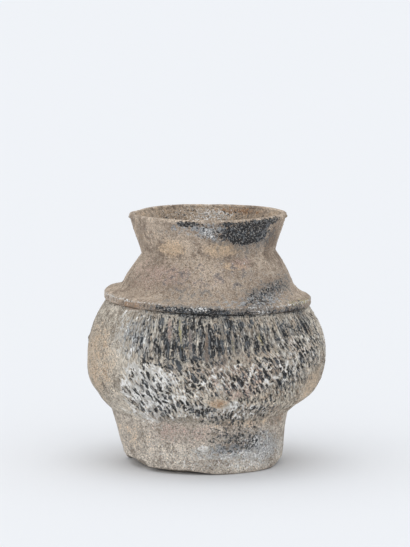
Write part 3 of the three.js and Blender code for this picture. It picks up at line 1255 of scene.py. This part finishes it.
TINTS = (
    Tint(Finish.BUFF, "#d3b99c", 0.75, 0.7),
    Tint(Finish.ROSE, "#b0958a", 0.7, 0.9),
    Tint(Finish.UMBER, "#6b594a", 0.65),
    Tint(Finish.RUST, "#8f6846", 0.7),
    Tint(Finish.SMOKE, "#5a5e61", 0.7, 2.2),
    Tint(Finish.ASH, "#abaeb1", 0.7, 2.4),
    Tint(Finish.OLIVE, "#a1976c", 0.75),
)


@dataclass(frozen=True)
class Earthenware:
    """Low-fired earthenware tempered with sand, unglazed: matt, porous and speckled.

    The eye reads it by its warm grey-brown body with pale and dark grains about a millimetre apart, its
    black fire clouds and the pale lime that burial left. Sizes are in millimetres.
    """

    name: str
    light_tone: str
    dark_tone: str
    pits: float
    chalks: float
    contrast: float
    pit: str = "#4a3f36"
    chalk: str = "#d8d4cc"
    roughness: float = 0.92
    grain: float = 1.2
    speck: float = 2.6
    mottle: float = 6.0
    cloud: float = 30.0

    def material(self) -> bpy.types.Material:
        """Builds the material.

        Returns:
            The material, which reads the ring's attributes and its object coordinates.
        """
        bench = ClayBench(self.name)
        grain = bench.strokes(self.grain, 2, 0.7)
        speck = bench.strokes(self.speck, 2, 0.6, (6.0, 2.0, 8.0))
        mottle = bench.noise(self.mottle, 3, 0.65, (3.0, 1.0, 2.0))
        colour = self.body(bench, speck, mottle)
        for tint in TINTS:
            start = 0.5 * tint.speckle + 1.55
            amount = bench.reach(
                bench.attribute(tint.finish.value), ((grain, 1.1), (speck, tint.speckle), (mottle, 1.6)),
                (start, start + 0.55), (0.02, 0.25),
            )
            colour = bench.mix(bench.times(amount, tint.strength), colour, tint.colour)
        # Ridge crests turn paler: partly the bare clay on them, partly a painted highlight where light
        # catches them.
        crest = bench.times(bench.step(bench.ridge, 0.45, 0.85), bench.step(grain, 0.3, 0.52))
        crest_tone_and_highlight = bench.mix(bench.step(bench.noise(9.0, 2, 0.6), 0.42, 0.62), "#cac1b2", "#b39f8b")
        colour = bench.mix(bench.times(crest, 0.65), colour, crest_tone_and_highlight)
        colour = self.sanded(bench, colour, grain)
        colour, soot = self.soot(bench, colour, mottle)
        colour = self.lime(bench, colour)
        coarse = bench.onto(grain, bench.noise(2.2, 2, 0.6, (5.0, 5.0, 1.0)), 1.2)
        bump = bench.add("ShaderNodeBump", {"Strength": 0.9, "Distance": 0.5 * MM, "Height": coarse})
        rough = bench.onto(self.roughness, soot, -0.14)
        return bench.finished(
            {"Base Color": colour, "Roughness": rough, "Normal": bump, "Specular IOR Level": 0.25})

    def body(self, bench: ClayBench, speck: Socket, mottle: Socket) -> Socket:
        """The bare clay, light and dark by clouds and mottling.

        Args:
            bench: The material's tree.
            speck: Noise of the size of coarse sand.
            mottle: Middling noise.

        Returns:
            The colour.
        """
        cloud = bench.noise(self.cloud, 2, 0.5, (9.0, 4.0, 1.0))
        tone = bench.onto(bench.times(cloud, 0.8), mottle, 1.1)
        tone = bench.onto(tone, speck, 1.1)
        return bench.mix(bench.step(tone, 1.1, 1.9), self.dark_tone, self.light_tone)

    def sanded(self, bench: ClayBench, under: Socket, grain: Socket) -> Socket:
        """The sand in the clay and its stains: lighter and darker grains, pits and chalky grains.

        Args:
            bench: The material's tree.
            under: The clay's colour.
            grain: Fine noise.

        Returns:
            The colour.
        """
        fine = bench.strokes(self.grain * 0.55, 1, 0.5, (3.0, 7.0, 11.0))
        shade = bench.onto(1 - 1.2 * self.contrast, fine, 1.4 * self.contrast)
        shade = bench.onto(shade, grain, self.contrast)
        shade = bench.blend(bench.times(bench.attribute(Finish.BARE.value), 0.55), shade, 1.0)
        colour = bench.scaled(under, shade)
        for size, shift, low, share, tone in (
            (0.8, (13.0, 5.0, 7.0), 0.58, self.pits, self.pit),
            (0.9, (1.0, 15.0, 7.0), 0.6, self.chalks, self.chalk),
        ):
            grains = bench.step(bench.strokes(self.grain * size, 1, 0.5, shift), low, low + 0.12)
            colour = bench.mix(bench.times(grains, share), colour, tone)
        return colour

    def soot(self, bench: ClayBench, under: Socket, mottle: Socket) -> tuple[Socket, Socket]:
        """Soot in blots, thin on the ridges, with small glints of clay in it.

        Args:
            bench: The material's tree.
            under: The colour that it lies on.
            mottle: Middling noise.

        Returns:
            The colour with the soot on it, and how much soot there is.
        """
        blots = bench.strokes(2.6, 3, 0.8, (7.0, 2.0, 5.0))
        dots = bench.noise(1.2, 1, 0.5, (4.0, 9.0, 1.0))
        clumps = bench.onto(-0.38, bench.noise(9.0, 2, 0.6, (2.0, 7.0, 3.0)), 1.1)
        parts = ((blots, 2.0), (dots, 1.0), (bench.ridge, -0.7), (bench.corded, clumps))
        amount = bench.reach(bench.attribute(Finish.SOOT.value), parts, (1.93, 2.1), (0.04, 0.25))
        grey = bench.onto(mottle, bench.strokes(1.6, 1, 0.5, (8.0, 3.0, 2.0)), 1.2)
        black = bench.mix(bench.step(grey, 1.05, 1.35), "#1f2125", "#565b60")
        glint = bench.step(bench.strokes(0.9, 1, 0.5, (1.0, 6.0, 4.0)), 0.56, 0.65)
        black = bench.mix(bench.times(glint, 0.75), black, "#a6a39f")
        return bench.mix(bench.times(amount, 0.94), under, black), amount

    def lime(self, bench: ClayBench, under: Socket) -> Socket:
        """Lime in flecks that gather on the ridges, and the painted highlight along the ledge's top edge,
        laid as lime.

        Args:
            bench: The material's tree.
            under: The colour that it lies on.

        Returns:
            The colour with the lime on it.
        """
        flecks = bench.strokes(1.3, 2, 0.8, (2.0, 8.0, 3.0))
        raised = bench.math("SUBTRACT", bench.ridge, bench.times(bench.corded, 0.45))
        parts = ((flecks, 2.6), (raised, 1.0))
        amount = bench.reach(bench.attribute(Finish.LIME.value), parts, (1.84, 2.06), (0.03, 0.2))
        crumbly = bench.step(bench.strokes(0.8, 1, 0.5, (6.0, 1.0, 9.0)), 0.34, 0.46)
        white = bench.mix(bench.step(bench.noise(4.0, 1, 0.5), 0.4, 0.6), "#c8c5c0", "#faf8f5")
        return bench.mix(bench.times(bench.times(amount, crumbly), 0.9), under, white)


@dataclass(frozen=True)
class LimeCrumb:
    """Lime that ground water left, dried to a chalky crumb: matt, off-white, a little dirty."""

    name: str = "chalky lime crumbs"
    pale: str = "#d6d3cc"
    dirty: str = "#9d958a"
    patch: float = 2.4
    roughness: float = 0.95

    def material(self) -> bpy.types.Material:
        """Builds the material.

        Returns:
            The material, pale and dirty by turns.
        """
        bench = ShaderBench(self.name)
        share = bench.step(bench.noise(self.patch, 1, 0.6), 0.42, 0.6)
        colour = bench.mix(share, self.dirty, self.pale)
        return bench.finished({"Base Color": colour, "Roughness": self.roughness})


@dataclass(frozen=True)
class SandGrain(LimeCrumb):
    """River sand worked into the clay: dull tan, grey and brown grains that stand a little proud."""

    name: str = "river sand temper"
    pale: str = "#b9a996"
    dirty: str = "#5f5449"
    patch: float = 1.6
    roughness: float = 0.8


@dataclass
class Jar:
    """The whole jar: eight stages of clay and the crumbs that cling to them. Spacings are in millimetres."""

    sizes: JarSizes = field(default_factory=JarSizes)
    spacing: float = 0.6
    inner_spacing: float = 2.0
    stages: tuple[tuple[str, str], ...] = (
        ("floor_disc", "foot_clay"),
        ("foot_wall", "foot_clay"),
        ("lower_belly", "cord_marked_clay"),
        ("upper_belly", "cord_marked_clay"),
        ("shoulder_ledge", "smoothed_clay"),
        ("shoulder_cone", "smoothed_clay"),
        ("neck_collar", "smoothed_clay"),
        ("rim_lip", "smoothed_clay"),
    )
    # Each slot's clay: its light and dark tones, pits, chalky grains and contrast. The foot is pale and
    # coarse, its pale tone partly its own and partly painted light that stands in for light from the floor
    # and the front; the paddled belly the roughest and most speckled, the wiped shoulder and neck warm and
    # even.
    clays: tuple[tuple[str, Earthenware], ...] = (
        ("foot_clay", Earthenware("coarse foot earthenware", "#e8ddcf", "#998c7f", 0.5, 0.6, 1.7)),
        ("cord_marked_clay", Earthenware("corded paddle earthenware", "#e0d6c7", "#8c8174", 0.7, 0.85, 2.2)),
        ("smoothed_clay", Earthenware("hand smoothed earthenware", "#d2c0ad", "#8b7b6d", 0.14, 0.35, 1.35)),
    )

    def build(self) -> list[bpy.types.Object]:
        """Builds and dresses every stage, then scatters the crumbs.

        Returns:
            The finished pieces.
        """
        lines = JarLines(self.sizes, self.spacing, self.inner_spacing)
        relief = ReliefTree(CordMarks(), self.sizes.belly_radius)
        clays = {slot: clay.material() for slot, clay in self.clays}
        pieces = []
        for node, slot in self.stages:
            piece = relief.bake(ClayRing(node, lines).mesh(), node + "_skin", clays[slot])
            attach(piece, ROOT)
            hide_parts(node)
            log.info("%s: %d faces", piece.name, len(piece.data.polygons))
            pieces.append(piece)
        pieces += self.crumbs({p.name: p for p in pieces})
        return pieces

    def crumbs(self, rings: Mapping[str, bpy.types.Object]) -> list[bpy.types.Object]:
        """Scatters lime crumbs and sand grains over the outside.

        Args:
            rings: The finished rings by name.

        Returns:
            The crumbs, one piece for each ring that holds them.
        """
        kinds = (
            ("lime", CrumbTree("lime crumbs", "lime", 1.6, 180000.0, 0.18, 0.5, 11), LimeCrumb().material()),
            ("grit", CrumbTree("sand temper", "skin", 1.0, 50000.0, 0.15, 0.42, 5), SandGrain().material()),
        )
        made = []
        for node, slot in self.stages[1:]:
            for kind, tree, material in kinds:
                name = f"{node}_{kind}"
                ground = add_object(name + "_ground", rings[node + "_skin"].data.copy())
                piece = tree.bake(ground, name, material)
                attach(piece, ROOT)
                log.info("%s: %d faces", piece.name, len(piece.data.polygons))
                made.append(piece)
        return made


@dataclass(frozen=True)
class Lamp:
    """A broad soft light so far off that it falls evenly: where it comes from, its power and its spread."""

    name: str
    place: tuple[float, float, float]
    power: float
    spread: float

    def light(self) -> None:
        """Adds the light. The spread is in degrees."""
        lamp = bpy.data.lights.new(self.name, "SUN")
        lamp.energy = self.power
        lamp.angle = math.radians(self.spread)
        add_object(self.name, lamp).rotation_euler = (-Vector(self.place)).to_track_quat("-Z", "Y").to_euler()


@dataclass
class Studio:
    """A pale floor, soft light and the photograph's viewpoint. Sizes are in metres."""

    floor_radius: float = 60.0
    paper: str = "#eaebee"
    lamps: tuple[Lamp, ...] = (
        Lamp("key", (-0.06, 0.05, 1.5), 1.31, 84),
        Lamp("fill", (-0.15, -1.0, 0.25), 0.69, 140),
    )
    sky_strength: float = 0.6
    camera_height: float = 0.385
    camera_distance: float = 2.1
    look_height: float = 0.1206
    pixel: float = 0.000634
    frame_height: int = 547
    sensor: float = 36.0
    side_shift: float = -0.00104

    def build(self) -> None:
        """Builds the floor, the light and the camera."""
        self.floor()
        for lamp in self.lamps:
            lamp.light()
        self.sky()
        self.camera()

    def floor(self) -> None:
        """A plain pale floor that runs on past everything the camera sees."""
        turn = np.linspace(0, 2 * math.pi, 96, endpoint=False)
        rim = [(self.floor_radius * math.cos(t), self.floor_radius * math.sin(t), 0.0) for t in turn]
        mesh = bpy.data.meshes.new("floor")
        mesh.from_pydata(rim, [], [list(range(len(rim)))])
        # Matt paper without a shine, so that only the jar's soft shadow shows on it.
        paper = bpy.data.materials.new("pale backdrop paper")
        paper.use_nodes = True
        shader = paper.node_tree.nodes["Principled BSDF"]
        shader.inputs["Base Color"].default_value = linear(self.paper)
        shader.inputs["Roughness"].default_value = 1.0
        shader.inputs["Specular IOR Level"].default_value = 0.0
        mesh.materials.append(paper)
        add_object("floor", mesh)

    def sky(self) -> None:
        """Soft light from all round."""
        world = bpy.data.worlds.new("soft room")
        world.use_nodes = True
        back = world.node_tree.nodes["Background"]
        back.inputs["Color"].default_value = linear("#f4f8fb")
        back.inputs["Strength"].default_value = self.sky_strength
        bpy.context.scene.world = world

    def camera(self) -> None:
        """The photograph's viewpoint: long lens, a little above the mouth, looking down at the jar."""
        place = Vector((self.side_shift, -self.camera_distance, self.camera_height))
        sight = Vector((self.side_shift, 0, self.look_height)) - place
        lens = bpy.data.cameras.new("camera")
        lens.sensor_width = self.sensor
        lens.lens = sight.length / self.pixel * self.sensor / self.frame_height
        lens.clip_end = 100
        holder = add_object("camera", lens)
        holder.location = place
        holder.rotation_euler = sight.to_track_quat("-Z", "Y").to_euler()
        bpy.context.scene.camera = holder
        bpy.context.scene.view_settings.view_transform = "Standard"


def main() -> None:
    """Builds the jar and its studio."""
    logging.basicConfig(level=logging.INFO, format="%(name)s %(message)s")
    Jar().build()
    Studio().build()


if __name__ == "__main__":
    main()
